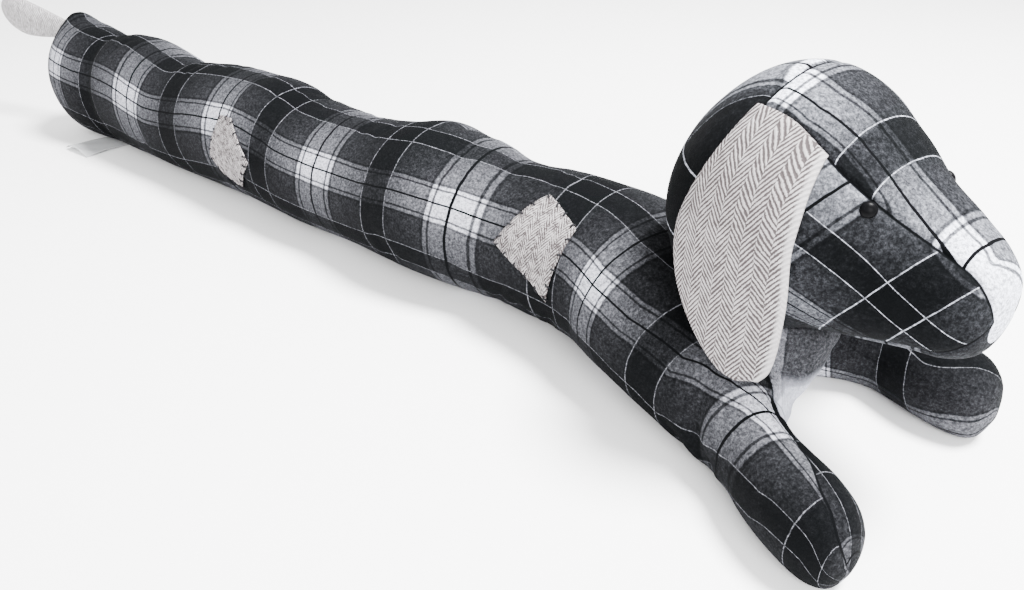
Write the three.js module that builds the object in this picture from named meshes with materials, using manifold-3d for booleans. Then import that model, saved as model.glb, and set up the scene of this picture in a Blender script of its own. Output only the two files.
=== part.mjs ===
// A dog-shaped draught excluder: a long filled tube of checked cloth that lies along a door,
// with two front legs, a chest, a raised head, hanging ears and a short tail.
// Millimetres, +Z up. The head points to +X and the right side of the dog faces -Y.
import * as THREE from "three";
import { mergeVertices } from "three/addons/utils/BufferGeometryUtils.js";
import Module from "manifold-3d";

const wasm = await Module();
wasm.setup();

// Driving sizes
const PIECE_GAP = 0.35; // between pieces that are sewn or rest together
const TUBE_STEP = 13; // spacing of the rings round the tube and legs
const TUBE_SIDES = 30; // points in each of those rings
const HEAD_STEP = 8;
const GUSSET_SIDES = 8; // across the head's middle strip
const PANEL_SIDES = 28; // round both side panels and the underside
const TAIL_STEP = 8;
const TAIL_SIDES = 18;

const HEAD_MIDDLE_X = 823; // where the skull stands, from the tail-end seam
const HEAD_MIDDLE_Y = -16.5;
const HEAD_TURN_DEG = -18; // the head looks a little to its right
const SEAM_DEPTH = 1.4; // how far the head's two long seams draw the cloth in
const FULL_SEAM_WIDTH = 20; // half the width of ring at which a seam has its full depth

const EAR_THICKNESS = 4.5; // two layers of cloth with thin wadding
const EAR_EDGE_THICKNESS = 2.2;
const EAR_ROOT_GAP = 0.9; // sideways from the head at the ear's seam
const EAR_HANG_GAP = 3; // sideways from the head where the ear hangs free
const EAR_FLARE = 5; // how far the tip stands off below the cheek
const EAR_ROOT_PART = 1 / 3; // the upper part, over which the ear comes away from the head
const EAR_TIP_PART = 1 / 6; // the lowest part, over which it thins to its edge
const EAR_COLUMNS = 9;
const EAR_ROWS_PER_STEP = 2;

const EYE_RADIUS = 4.1;
const EYE_HEIGHT = 2.6;
const EYE_STATION = 6.68; // in rows of the head table
const EYE_ANGLE_DEG = 41;
const EYE_STEPS = 6; // from its rim to its top
const EYE_SIDES = 16;

const PATCH_THICKNESS = 1.2;
const PATCH_GAP = 0.45; // under a patch
const PATCH_RINGS = 5; // from its middle to its edge
const PATCH_EDGE_STEPS = 4; // along each of its edges

const LABEL_WIDTH = 42;
const LABEL_THICKNESS = 1;
const LABEL_X = 87; // its middle, from the tail-end seam
const LABEL_INNER_Y = -8;
const LABEL_OUTER_Y = -60;

const WAY_STEPS = 20; // in each row, where ways along a tube are measured
const SAME_POINT = 1e-4; // points closer than this are one
const SMALL_PLACE = 0.01; // a short way along a table, for directions
const SMALL_ANGLE = 0.01;

// The tube and the right front leg, from the tail-end seam to the tip of the paw.
// Each row is a ring: x, y and z of its middle, half its width, half its height, and how far
// its top and its bottom lean forward. The swells and dips along the tube are the cloth's own.
const TUBE_ROWS = [
  [0, 4.5, 57, 1.5, 51.5, 22, 12],
  [3.5, 4.5, 57.5, 13, 58.5, 21, 11],
  [13, 4.5, 58, 30.5, 61.5, 18, 9],
  [29, 4.5, 59.5, 44.5, 62.5, 12, 5],
  [53, 4.5, 59, 51, 61.5, 5, 2],
  [82.5, 4.5, 56.5, 49.5, 58.5, 0, 0],
  [108, 5.5, 55, 44.5, 57.5, 0, 0],
  [133, 5.5, 58, 49.5, 60.5, 0, 0],
  [165, 5.5, 58.5, 51.5, 61, 0, 0],
  [197, 4.5, 56, 51.5, 58, 0, 0],
  [228.5, 3.5, 52.5, 51, 54.5, 0, 0],
  [266, 3.5, 54, 50.5, 56.5, 0, 0],
  [307, 3.5, 56.5, 52.5, 58.5, 0, 0],
  [348.5, 3, 56.5, 52.5, 58.5, 0, 0],
  [377.5, 2, 56.5, 54, 58.5, 0, 0],
  [408, 1, 53, 54, 55.5, 0, 0],
  [435.5, 0, 51, 55, 53, 0, 0],
  [486, 0, 50.5, 53, 52.5, 0, 0],
  [522.5, 0, 52.5, 57, 54.5, 0, 0],
  [561, 0, 56, 61.5, 58.5, 0, 0],
  [600.5, 0, 53, 58, 55.5, 0, 0],
  [639, 0, 49.5, 50, 52, 0, 0],
  [669, -1, 51, 52.5, 53, 0, 0],
];
const RIGHT_LEG_ROWS = [
  [701.5, -3, 51, 55, 53, 0, 0],
  [733.5, -9, 50.5, 58.5, 52.5, 0, 0],
  [765.5, -24, 47, 58, 49.5, 0, 0],
  [797.5, -46, 41.5, 48.5, 43.5, 0, 0],
  [823, -66, 34, 35, 36, 0, 0],
  [842.5, -82.5, 27, 23, 28.5, 0, 0],
  [854.5, -92, 25, 20, 26, 0, 0],
  [867.5, -102.5, 25, 21, 26.5, 0, 0],
  [884, -113, 25, 21.5, 26.5, 0, 0],
  [898.5, -121, 23, 18.5, 24.5, 0, 0],
  [906.5, -125.5, 20.5, 12, 17, 0, 0],
  [910, -127, 19.5, 3, 3.5, 0, 0],
];
const LEFT_LEG_ROWS = [
  [724, 0, 49.5, 46, 50.5, 0, 0],
  [761, 11, 47.5, 49.5, 50, 0, 0],
  [797.5, 24, 44, 44, 46, 0, 0],
  [834, 36.5, 36.5, 33, 38.5, 0, 0],
  [861.5, 45, 29, 25, 30.5, 0, 0],
  [882, 46, 25, 20.5, 26.5, 0, 0],
  [898.5, 41.5, 25, 22, 26.5, 0, 0],
  [916.5, 35, 25, 23.5, 26.5, 0, 0],
  [933, 29.5, 23.5, 19.5, 25, 0, 0],
  [942.5, 26.5, 20.5, 13, 17, 0, 0],
  [946, 25.5, 19.5, 3, 3.5, 0, 0],
];
const CHEST_ROWS = [
  [751.5, -3.5, 51.5, 38.5, 46, 0, 0],
  [788.5, -11, 51.5, 42, 46, 3, -3],
  [816, -18.5, 51.5, 38.5, 42, 5.5, -5.5],
  [836, -24, 52.5, 32, 37.5, 7.5, -7.5],
  [850.5, -28.5, 53, 24, 29.5, 8.5, -8.5],
  [858, -30.5, 54, 14, 17.5, 7.5, -7.5],
  [861, -31.5, 54, 3, 3.5, 0, 0],
];
const TAIL_ROWS = [
  [19, 2, 108, 4, 9.5, 0, 0],
  [-4, -4, 112, 6, 13.5, 0, 0],
  [-28, -10, 115, 7.5, 18, 0, 0],
  [-50, -15, 118, 7.5, 20.5, 0, 0],
  [-67, -18.5, 120, 6, 17, 0, 0],
  [-77, -20.5, 121, 3.5, 10, 0, 0],
  [-81, -21.5, 121.5, 1, 2, 0, 0],
];

// The head, from its back to the nose. Each row: forward of the skull's middle, height of the
// ring's middle, half its width, half its height, how square it is (2 is an ellipse), and half
// the width of the middle strip, which runs over the top between the two side panels.
const HEAD_ROWS = [
  [-62.5, 128.5, 3, 3, 2, 1.8],
  [-59, 129.5, 20, 22, 2, 12],
  [-44, 131.5, 46, 47.5, 2, 27],
  [-23, 134, 62.5, 63.5, 2, 36],
  [0, 135.5, 67, 69, 2, 39],
  [23, 135, 62.5, 62.5, 2.1, 38.5],
  [44, 132.5, 49.5, 51, 2.2, 34.5],
  [64, 128, 38.5, 40.5, 2.3, 27.5],
  [84.5, 124, 31, 32, 2.4, 21.5],
  [99, 121.5, 25.5, 27, 2.4, 18],
  [109, 120, 16.5, 18.5, 2.2, 12.5],
  [112.5, 119.5, 3, 3, 2, 2.3],
];

// An ear's outline seen from the side. Each row: forward and height of its back edge, then
// forward and height of its front edge.
const EAR_ROWS = [
  [-1, 192.5, 37, 178],
  [-4.5, 176, 38, 168],
  [-10, 154, 41.5, 152],
  [-14, 131, 43, 134],
  [-10, 111, 44.5, 113],
  [0.5, 94, 45, 95],
  [13, 80, 44.5, 81],
  [24, 70, 43.5, 72],
  [33, 65.5, 41, 67],
];

// The patches' corners on the tube's right side, each patch in order round its edge. Each row:
// way along the tube's middle line from the tail-end seam, and angle up from its right side.
const SHOULDER_PATCH = [
  [652, 19],
  [678, 65],
  [715, 49],
  [713, 30],
  [707, -6],
];
const REAR_PATCH = [
  [335, -3],
  [346, 24],
  [351, 35],
  [368, 35],
  [382, 21],
  [396, 7],
  [372, -26],
  [348, -19],
];

const CHECK_CLOTH = { color: 0x5f5d66, roughness: 0.92, metalness: 0 };
const HERRINGBONE_CLOTH = { color: 0xb9b1ad, roughness: 0.95, metalness: 0 };
const EYE_FINISH = { color: 0x0c0c0e, roughness: 0.45, metalness: 0 };
const LABEL_CLOTH = { color: 0xe6e4e2, roughness: 0.85, metalness: 0 };

const radians = THREE.MathUtils.degToRad;

// A smooth value of every column at a place between the rows of a table
function smooth(rows, place) {
  const last = rows.length - 1;
  const low = Math.min(Math.floor(place), last - 1);
  const f = place - low;
  const b = rows[low];
  const c = rows[low + 1];
  const a = rows[low - 1] ?? b.map((value, k) => 2 * value - c[k]);
  const d = rows[low + 2] ?? c.map((value, k) => 2 * value - b[k]);
  return b.map((value, k) => {
    const slope = c[k] - a[k];
    const bend = 2 * a[k] - 5 * b[k] + 4 * c[k] - d[k];
    const twist = 3 * b[k] - a[k] - 3 * c[k] + d[k];
    return value + 0.5 * f * (slope + f * (bend + f * twist));
  });
}

// Places along a table so that rings stand about one step apart
function places(rows, step, distance) {
  const list = [];
  for (let row = 0; row < rows.length - 1; row++) {
    const parts = Math.max(1, Math.round(distance(rows[row], rows[row + 1]) / step));
    for (let part = 0; part < parts; part++) {
      list.push(row + part / parts);
    }
  }
  list.push(rows.length - 1);
  return list;
}

const planDistance = (a, b) => Math.hypot(b[0] - a[0], b[1] - a[1]);

// The heading of a tube's middle line, seen from above
function heading(rows, place) {
  const ahead = smooth(rows, Math.min(place + SMALL_PLACE, rows.length - 1));
  const behind = smooth(rows, Math.max(place - SMALL_PLACE, 0));
  return new THREE.Vector3(ahead[0] - behind[0], ahead[1] - behind[1], 0).normalize();
}

// A point on a filled tube: angle 0 is its right side and 90 degrees its top.
// What would sink below the floor lies flat on it.
function tubePoint(rows, place, angle) {
  const [x, y, z, halfWidth, halfHeight, topLean, bottomLean] = smooth(rows, place);
  const forward = heading(rows, place);
  const right = new THREE.Vector3(forward.y, -forward.x, 0);
  const point = new THREE.Vector3(x, y, z);
  point.addScaledVector(right, halfWidth * Math.cos(angle));
  const lean = Math.sin(angle) > 0 ? topLean : bottomLean;
  point.addScaledVector(forward, lean * Math.sin(angle) ** 2);
  point.z = Math.max(0, z + halfHeight * Math.sin(angle));
  return point;
}

const HEAD_FORWARD = new THREE.Vector3(
  Math.cos(radians(HEAD_TURN_DEG)), Math.sin(radians(HEAD_TURN_DEG)), 0);
const HEAD_RIGHT = new THREE.Vector3(HEAD_FORWARD.y, -HEAD_FORWARD.x, 0);

// A point in the head's own directions: forward, to its right, and height
function headPlace(forward, right, height) {
  return new THREE.Vector3(HEAD_MIDDLE_X, HEAD_MIDDLE_Y, height)
    .addScaledVector(HEAD_FORWARD, forward)
    .addScaledVector(HEAD_RIGHT, right);
}

const signedPower = (value, power) => Math.sign(value) * Math.abs(value) ** power;

// A point on the head, drawn in towards the middle of its ring by a depth
function headPoint(place, angle, depth = 0) {
  const [forward, middle, halfWidth, halfHeight, square] = smooth(HEAD_ROWS, place);
  const across = (halfWidth - depth) * signedPower(Math.cos(angle), 2 / square);
  const up = (halfHeight - depth) * signedPower(Math.sin(angle), 2 / square);
  return headPlace(forward, across, middle + up);
}

// The head's ring at a way forward of the skull's middle
function headRingAt(forward) {
  const next = Math.max(1, HEAD_ROWS.findIndex((row) => row[0] >= forward));
  let low = next - 1;
  let high = next;
  while (high - low > SAME_POINT) {
    const middle = (low + high) / 2;
    if (smooth(HEAD_ROWS, middle)[0] < forward) {
      low = middle;
    } else {
      high = middle;
    }
  }
  return smooth(HEAD_ROWS, low);
}

// How far out from the head's middle plane its surface is, above its widest level,
// and below that level the widest place of the same ring
function cheek(forward, height) {
  const [, middle, halfWidth, halfHeight, square] = headRingAt(forward);
  const rise = THREE.MathUtils.clamp((height - middle) / halfHeight, 0, 1);
  return halfWidth * (1 - rise ** square) ** (1 / square);
}

// A closed skin over rings of points, with a fan over each end
function skin(rings) {
  const sides = rings[0].length;
  const points = rings.flat();
  const faces = [];
  for (let ring = 0; ring < rings.length - 1; ring++) {
    for (let side = 0; side < sides; side++) {
      const a = ring * sides + side;
      const b = ring * sides + ((side + 1) % sides);
      faces.push(a, a + sides, b, b, a + sides, b + sides);
    }
  }
  const middleOf = (ring) => ring
    .reduce((sum, point) => sum.add(point), new THREE.Vector3())
    .divideScalar(sides);
  const first = points.length;
  const lastRing = (rings.length - 1) * sides;
  points.push(middleOf(rings[0]), middleOf(rings.at(-1)));
  for (let side = 0; side < sides; side++) {
    const next = (side + 1) % sides;
    faces.push(first, side, next);
    faces.push(first + 1, lastRing + next, lastRing + side);
  }
  return geometryOf(points, faces);
}

// A closed slab between two grids of points, its edges joined by a rim
function slab(inner, outer) {
  const rows = inner.length;
  const columns = inner[0].length;
  const points = [...inner.flat(), ...outer.flat()];
  const shift = rows * columns;
  const faces = [];
  for (let row = 0; row < rows - 1; row++) {
    for (let column = 0; column < columns - 1; column++) {
      const a = row * columns + column;
      const b = a + 1;
      const c = a + columns;
      const d = c + 1;
      faces.push(a, b, c, b, d, c);
      faces.push(shift + a, shift + c, shift + b, shift + b, shift + c, shift + d);
    }
  }
  const along = Array.from({ length: columns - 1 }, (_, column) => column);
  const down = Array.from({ length: rows - 1 }, (_, row) => row * columns);
  const corner = rows * columns - 1;
  const rim = [
    ...along,
    ...down.map((start) => start + columns - 1),
    ...along.map((column) => corner - column),
    ...down.map((start) => corner - (columns - 1) - start),
  ];
  rim.forEach((a, index) => {
    const b = rim[(index + 1) % rim.length];
    faces.push(a, shift + a, b, b, shift + a, shift + b);
  });
  return geometryOf(points, faces);
}

function geometryOf(points, faces) {
  const geometry = new THREE.BufferGeometry().setFromPoints(points);
  geometry.setIndex(faces);
  return outward(mergeVertices(geometry, SAME_POINT));
}

// The same geometry with its faces turned outward
function outward(geometry) {
  const at = geometry.getAttribute("position");
  const index = geometry.getIndex().array;
  const corners = [new THREE.Vector3(), new THREE.Vector3(), new THREE.Vector3()];
  let volume = 0;
  for (let face = 0; face < index.length; face += 3) {
    corners.forEach((corner, k) => corner.fromBufferAttribute(at, index[face + k]));
    volume += corners[0].dot(corners[1].clone().cross(corners[2]));
  }
  if (volume < 0) {
    for (let face = 0; face < index.length; face += 3) {
      [index[face + 1], index[face + 2]] = [index[face + 2], index[face + 1]];
    }
  }
  return geometry;
}

// The geometry with every point moved outward by a gap
function grown(geometry, gap) {
  const bigger = geometry.clone();
  bigger.computeVertexNormals();
  const at = bigger.getAttribute("position");
  const normal = bigger.getAttribute("normal");
  for (let point = 0; point < at.count; point++) {
    at.setXYZ(
      point,
      at.getX(point) + gap * normal.getX(point),
      at.getY(point) + gap * normal.getY(point),
      at.getZ(point) + gap * normal.getZ(point),
    );
  }
  bigger.deleteAttribute("normal");
  return bigger;
}

function solidOf(geometry) {
  return new wasm.Manifold(new wasm.Mesh({
    numProp: 3,
    vertProperties: new Float32Array(geometry.getAttribute("position").array),
    triVerts: new Uint32Array(geometry.getIndex().array),
  }));
}

function geometryFrom(solid) {
  const { vertProperties, triVerts } = solid.getMesh();
  const geometry = new THREE.BufferGeometry();
  geometry.setAttribute("position", new THREE.BufferAttribute(vertProperties, 3));
  geometry.setIndex(new THREE.BufferAttribute(triVerts, 1));
  return mergeVertices(geometry, SAME_POINT);
}

const joined = (first, ...others) => geometryFrom(
  others.reduce((sum, geometry) => sum.add(solidOf(geometry)), solidOf(first)));

const cutBy = (geometry, ...tools) => geometryFrom(
  tools.reduce((rest, tool) => rest.subtract(solidOf(grown(tool, PIECE_GAP))), solidOf(geometry)));

// A filled tube along the rows of a table
function filledTube(rows, step, sides) {
  const turn = (2 * Math.PI) / sides;
  return skin(places(rows, step, planDistance).map((place) => (
    Array.from({ length: sides }, (_, side) => tubePoint(rows, place, side * turn)))));
}

// One ring of the head, with a point on each of the two seams of its middle strip
function headRing(place) {
  const [, , halfWidth, , square, strip] = smooth(HEAD_ROWS, place);
  const seam = Math.acos((strip / halfWidth) ** (square / 2));
  const depth = SEAM_DEPTH * Math.min(1, halfWidth / FULL_SEAM_WIDTH);
  const overTop = (Math.PI - 2 * seam) / GUSSET_SIDES;
  const underneath = (Math.PI + 2 * seam) / PANEL_SIDES;
  const ring = [];
  for (let side = 0; side < GUSSET_SIDES; side++) {
    ring.push(headPoint(place, seam + side * overTop, side === 0 ? depth : 0));
  }
  for (let side = 0; side < PANEL_SIDES; side++) {
    ring.push(headPoint(place, Math.PI - seam + side * underneath, side === 0 ? depth : 0));
  }
  return ring;
}

function headGeometry() {
  const forwardStep = (a, b) => Math.abs(b[0] - a[0]);
  return skin(places(HEAD_ROWS, HEAD_STEP, forwardStep).map(headRing));
}

// An ear hangs from its seam over the cheek: side is 1 on the dog's right and -1 on its left
function earGeometry(side) {
  const layers = [[], []];
  const rowCount = (EAR_ROWS.length - 1) * EAR_ROWS_PER_STEP;
  for (let row = 0; row <= rowCount; row++) {
    const [backX, backZ, frontX, frontZ] = smooth(EAR_ROWS, row / EAR_ROWS_PER_STEP);
    const down = row / rowCount;
    const hang = Math.min(1, down / EAR_ROOT_PART);
    const gap = EAR_ROOT_GAP + (EAR_HANG_GAP - EAR_ROOT_GAP) * hang + EAR_FLARE * down ** 2;
    const lines = [[], []];
    for (let column = 0; column < EAR_COLUMNS; column++) {
      const across = column / (EAR_COLUMNS - 1);
      const forward = backX + (frontX - backX) * across;
      const height = backZ + (frontZ - backZ) * across;
      const inside = 4 * across * (1 - across) * Math.min(1, (1 - down) / EAR_TIP_PART);
      const thickness = EAR_EDGE_THICKNESS + (EAR_THICKNESS - EAR_EDGE_THICKNESS) * inside;
      const out = cheek(forward, height) + gap;
      lines[0].push(headPlace(forward, side * out, height));
      lines[1].push(headPlace(forward, side * (out + thickness), height + thickness / 2));
    }
    layers[0].push(lines[0]);
    layers[1].push(lines[1]);
  }
  return slab(...layers);
}

// A small domed eye: side is 1 on the dog's right and -1 on its left
function eyeGeometry(side) {
  const angle = side > 0 ? radians(EYE_ANGLE_DEG) : Math.PI - radians(EYE_ANGLE_DEG);
  const middle = headPoint(EYE_STATION, angle);
  const along = headPoint(EYE_STATION + SMALL_PLACE, angle).sub(middle);
  const round = headPoint(EYE_STATION, angle + SMALL_ANGLE).sub(middle);
  const outwardWay = along.cross(round).normalize();
  const profile = [new THREE.Vector2(0, -EYE_HEIGHT), new THREE.Vector2(EYE_RADIUS, -EYE_HEIGHT)];
  for (let step = 0; step < EYE_STEPS; step++) {
    const rise = ((step / EYE_STEPS) * Math.PI) / 2;
    profile.push(new THREE.Vector2(EYE_RADIUS * Math.cos(rise), EYE_HEIGHT * Math.sin(rise)));
  }
  profile.push(new THREE.Vector2(0, EYE_HEIGHT));
  const geometry = new THREE.LatheGeometry(profile, EYE_SIDES);
  geometry.deleteAttribute("normal");
  geometry.deleteAttribute("uv");
  geometry.applyQuaternion(
    new THREE.Quaternion().setFromUnitVectors(new THREE.Vector3(0, 1, 0), outwardWay));
  geometry.translate(middle.x, middle.y, middle.z);
  return outward(mergeVertices(geometry, SAME_POINT));
}

// Way along a tube's middle line at each place in its table
function wayAlong(rows) {
  const list = [];
  let way = 0;
  let before = smooth(rows, 0);
  for (let step = 0; step <= (rows.length - 1) * WAY_STEPS; step++) {
    const place = step / WAY_STEPS;
    const here = smooth(rows, place);
    way += planDistance(before, here);
    before = here;
    list.push([way, place]);
  }
  return list;
}

function placeAtWay(list, way) {
  const next = list.findIndex(([reached]) => reached >= way);
  const [lowWay, lowPlace] = list[next - 1];
  const [highWay, highPlace] = list[next];
  return lowPlace + ((highPlace - lowPlace) * (way - lowWay)) / (highWay - lowWay);
}

// A patch of cloth that follows the tube, from the corners of its outline
function patchGeometry(corners, rows) {
  const ways = wayAlong(rows);
  const mix = (a, b, f) => a.map((value, k) => value + (b[k] - value) * f);
  const centre = [0, 1].map((k) => corners.reduce((sum, corner) => sum + corner[k], 0) / corners.length);
  const outline = corners.flatMap((corner, index) => (
    Array.from({ length: PATCH_EDGE_STEPS }, (_, step) => (
      mix(corner, corners[(index + 1) % corners.length], step / PATCH_EDGE_STEPS)))));
  const ringAt = (share, height) => outline.map((edge) => {
    const [way, degrees] = mix(centre, edge, share);
    const place = placeAtWay(ways, way);
    const angle = radians(degrees);
    const point = tubePoint(rows, place, angle);
    const along = tubePoint(rows, place + SMALL_PLACE, angle).sub(point);
    const round = tubePoint(rows, place, angle + SMALL_ANGLE).sub(point);
    return point.addScaledVector(along.cross(round).normalize(), height);
  });
  const shares = Array.from({ length: PATCH_RINGS }, (_, ring) => (ring + 1) / PATCH_RINGS);
  const inner = shares.map((share) => ringAt(share, PATCH_GAP));
  const outer = shares.map((share) => ringAt(share, PATCH_GAP + PATCH_THICKNESS));
  return skin([...inner, ...outer.reverse()]);
}

// The care label lies flat on the floor, out from under the tube
function labelGeometry() {
  const length = LABEL_INNER_Y - LABEL_OUTER_Y;
  const geometry = new THREE.BoxGeometry(LABEL_WIDTH, length, LABEL_THICKNESS);
  geometry.deleteAttribute("normal");
  geometry.deleteAttribute("uv");
  geometry.translate(LABEL_X, (LABEL_INNER_Y + LABEL_OUTER_Y) / 2, LABEL_THICKNESS / 2);
  return mergeVertices(geometry, SAME_POINT);
}

function piece(name, geometry, finish) {
  geometry.computeVertexNormals();
  const mesh = new THREE.Mesh(geometry, new THREE.MeshStandardMaterial(finish));
  mesh.name = name;
  return mesh;
}

const rightSide = [...TUBE_ROWS, ...RIGHT_LEG_ROWS];
const head = headGeometry();
const filledBody = joined(
  filledTube(rightSide, TUBE_STEP, TUBE_SIDES),
  filledTube(LEFT_LEG_ROWS, TUBE_STEP, TUBE_SIDES),
  filledTube(CHEST_ROWS, TUBE_STEP, TUBE_SIDES),
);
const body = cutBy(filledBody, head);

const dog = new THREE.Group();
dog.add(
  piece("body", body, CHECK_CLOTH),
  piece("head", head, CHECK_CLOTH),
  piece("ear_right", cutBy(earGeometry(1), head, filledBody), HERRINGBONE_CLOTH),
  piece("ear_left", cutBy(earGeometry(-1), head, filledBody), HERRINGBONE_CLOTH),
  piece("tail", cutBy(filledTube(TAIL_ROWS, TAIL_STEP, TAIL_SIDES), filledBody), HERRINGBONE_CLOTH),
  piece("patch_shoulder", cutBy(patchGeometry(SHOULDER_PATCH, rightSide), body), HERRINGBONE_CLOTH),
  piece("patch_rear", cutBy(patchGeometry(REAR_PATCH, rightSide), body), HERRINGBONE_CLOTH),
  piece("eye_right", cutBy(eyeGeometry(1), head), EYE_FINISH),
  piece("eye_left", cutBy(eyeGeometry(-1), head), EYE_FINISH),
  piece("care_label", cutBy(labelGeometry(), body), LABEL_CLOTH),
);

// The origin is on the floor, under the middle of the whole thing
const box = new THREE.Box3().setFromObject(dog, true);
dog.position.set(-(box.min.x + box.max.x) / 2, -(box.min.y + box.max.y) / 2, -box.min.z);

const draughtExcluder = new THREE.Group();
draughtExcluder.add(dog);
export default draughtExcluder;
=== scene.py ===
import math

import bmesh
import bpy
import numpy as np
from mathutils import Matrix, Vector


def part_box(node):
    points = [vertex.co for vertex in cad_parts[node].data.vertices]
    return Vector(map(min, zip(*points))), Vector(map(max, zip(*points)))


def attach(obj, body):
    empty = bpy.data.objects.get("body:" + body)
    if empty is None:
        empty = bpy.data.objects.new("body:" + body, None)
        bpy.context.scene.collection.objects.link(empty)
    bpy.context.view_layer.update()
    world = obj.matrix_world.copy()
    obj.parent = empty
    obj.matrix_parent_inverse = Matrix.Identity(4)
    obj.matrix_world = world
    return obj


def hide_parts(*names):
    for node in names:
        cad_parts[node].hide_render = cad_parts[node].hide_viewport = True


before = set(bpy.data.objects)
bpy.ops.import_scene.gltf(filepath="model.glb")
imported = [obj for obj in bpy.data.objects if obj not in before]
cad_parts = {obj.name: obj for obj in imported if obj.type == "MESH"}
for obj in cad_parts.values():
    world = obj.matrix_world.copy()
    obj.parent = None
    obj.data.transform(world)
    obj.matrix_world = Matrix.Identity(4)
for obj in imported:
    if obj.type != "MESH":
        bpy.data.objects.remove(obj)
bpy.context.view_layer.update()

# The dog's own sizes are in millimetres from the tail-end seam, as it was cut and sewn.
MM = 0.001
LABEL_SIZE = (42, 52)
LABEL_CORNER = (66, -60)
label_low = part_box("care_label")[0]
START = np.array([label_low.x - LABEL_CORNER[0] * MM, label_low.y - LABEL_CORNER[1] * MM, 0])

# Camera: where it stood, what it looked at, and how wide it saw
CAMERA_AT = (917.0, -385.6, 297.4)
CAMERA_RIGHT = (0.8014, 0.5982, 0)
CAMERA_UP = (-0.3194, 0.4279, 0.8456)
CAMERA_BACK = (0.5058, -0.6776, 0.5340)
CAMERA_LENS = 26.0
CAMERA_SENSOR = 36.0

# Rings of the tube and the right front leg: x, y and z of the middle, half the width, half the
# height, and how far the top and the bottom lean forward
TUBE_ROWS = [
    (0, 4.5, 57, 1.5, 51.5, 22, 12),
    (3.5, 4.5, 57.5, 13, 58.5, 21, 11),
    (13, 4.5, 58, 30.5, 61.5, 18, 9),
    (29, 4.5, 59.5, 44.5, 62.5, 12, 5),
    (53, 4.5, 59, 51, 61.5, 5, 2),
    (82.5, 4.5, 56.5, 49.5, 58.5, 0, 0),
    (108, 5.5, 55, 44.5, 57.5, 0, 0),
    (133, 5.5, 58, 49.5, 60.5, 0, 0),
    (165, 5.5, 58.5, 51.5, 61, 0, 0),
    (197, 4.5, 56, 51.5, 58, 0, 0),
    (228.5, 3.5, 52.5, 51, 54.5, 0, 0),
    (266, 3.5, 54, 50.5, 56.5, 0, 0),
    (307, 3.5, 56.5, 52.5, 58.5, 0, 0),
    (348.5, 3, 56.5, 52.5, 58.5, 0, 0),
    (377.5, 2, 56.5, 54, 58.5, 0, 0),
    (408, 1, 53, 54, 55.5, 0, 0),
    (435.5, 0, 51, 55, 53, 0, 0),
    (486, 0, 50.5, 53, 52.5, 0, 0),
    (522.5, 0, 52.5, 57, 54.5, 0, 0),
    (561, 0, 56, 61.5, 58.5, 0, 0),
    (600.5, 0, 53, 58, 55.5, 0, 0),
    (639, 0, 49.5, 50, 52, 0, 0),
    (669, -1, 51, 52.5, 53, 0, 0),
]
RIGHT_LEG_ROWS = [
    (701.5, -3, 51, 55, 53, 0, 0),
    (733.5, -9, 50.5, 58.5, 52.5, 0, 0),
    (765.5, -24, 47, 58, 49.5, 0, 0),
    (797.5, -46, 41.5, 48.5, 43.5, 0, 0),
    (823, -66, 34, 35, 36, 0, 0),
    (842.5, -82.5, 27, 23, 28.5, 0, 0),
    (854.5, -92, 25, 20, 26, 0, 0),
    (867.5, -102.5, 25, 21, 26.5, 0, 0),
    (884, -113, 25, 21.5, 26.5, 0, 0),
    (898.5, -121, 23, 18.5, 24.5, 0, 0),
    (906.5, -125.5, 20.5, 12, 17, 0, 0),
    (910, -127, 19.5, 3, 3.5, 0, 0),
]
LEFT_LEG_ROWS = [
    (724, 0, 49.5, 46, 50.5, 0, 0),
    (761, 11, 47.5, 49.5, 50, 0, 0),
    (797.5, 24, 44, 44, 46, 0, 0),
    (834, 36.5, 36.5, 33, 38.5, 0, 0),
    (861.5, 45, 29, 25, 30.5, 0, 0),
    (882, 46, 25, 20.5, 26.5, 0, 0),
    (898.5, 41.5, 25, 22, 26.5, 0, 0),
    (916.5, 35, 25, 23.5, 26.5, 0, 0),
    (933, 29.5, 23.5, 19.5, 25, 0, 0),
    (942.5, 26.5, 20.5, 13, 17, 0, 0),
    (946, 25.5, 19.5, 3, 3.5, 0, 0),
]
LONG_ROWS = TUBE_ROWS + RIGHT_LEG_ROWS
CHEST_ROWS = [
    (751.5, -3.5, 51.5, 38.5, 46, 0, 0),
    (788.5, -11, 51.5, 42, 46, 3, -3),
    (816, -18.5, 51.5, 38.5, 42, 5.5, -5.5),
    (836, -24, 52.5, 32, 37.5, 7.5, -7.5),
    (850.5, -28.5, 53, 24, 29.5, 8.5, -8.5),
    (858, -30.5, 54, 14, 17.5, 7.5, -7.5),
    (861, -31.5, 54, 3, 3.5, 0, 0),
]
TAIL_ROWS = [
    (19, 2, 108, 4, 9.5, 0, 0),
    (-4, -4, 112, 6, 13.5, 0, 0),
    (-28, -10, 115, 7.5, 18, 0, 0),
    (-50, -15, 118, 7.5, 20.5, 0, 0),
    (-67, -18.5, 120, 6, 17, 0, 0),
    (-77, -20.5, 121, 3.5, 10, 0, 0),
    (-81, -21.5, 121.5, 1, 2, 0, 0),
]

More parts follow.
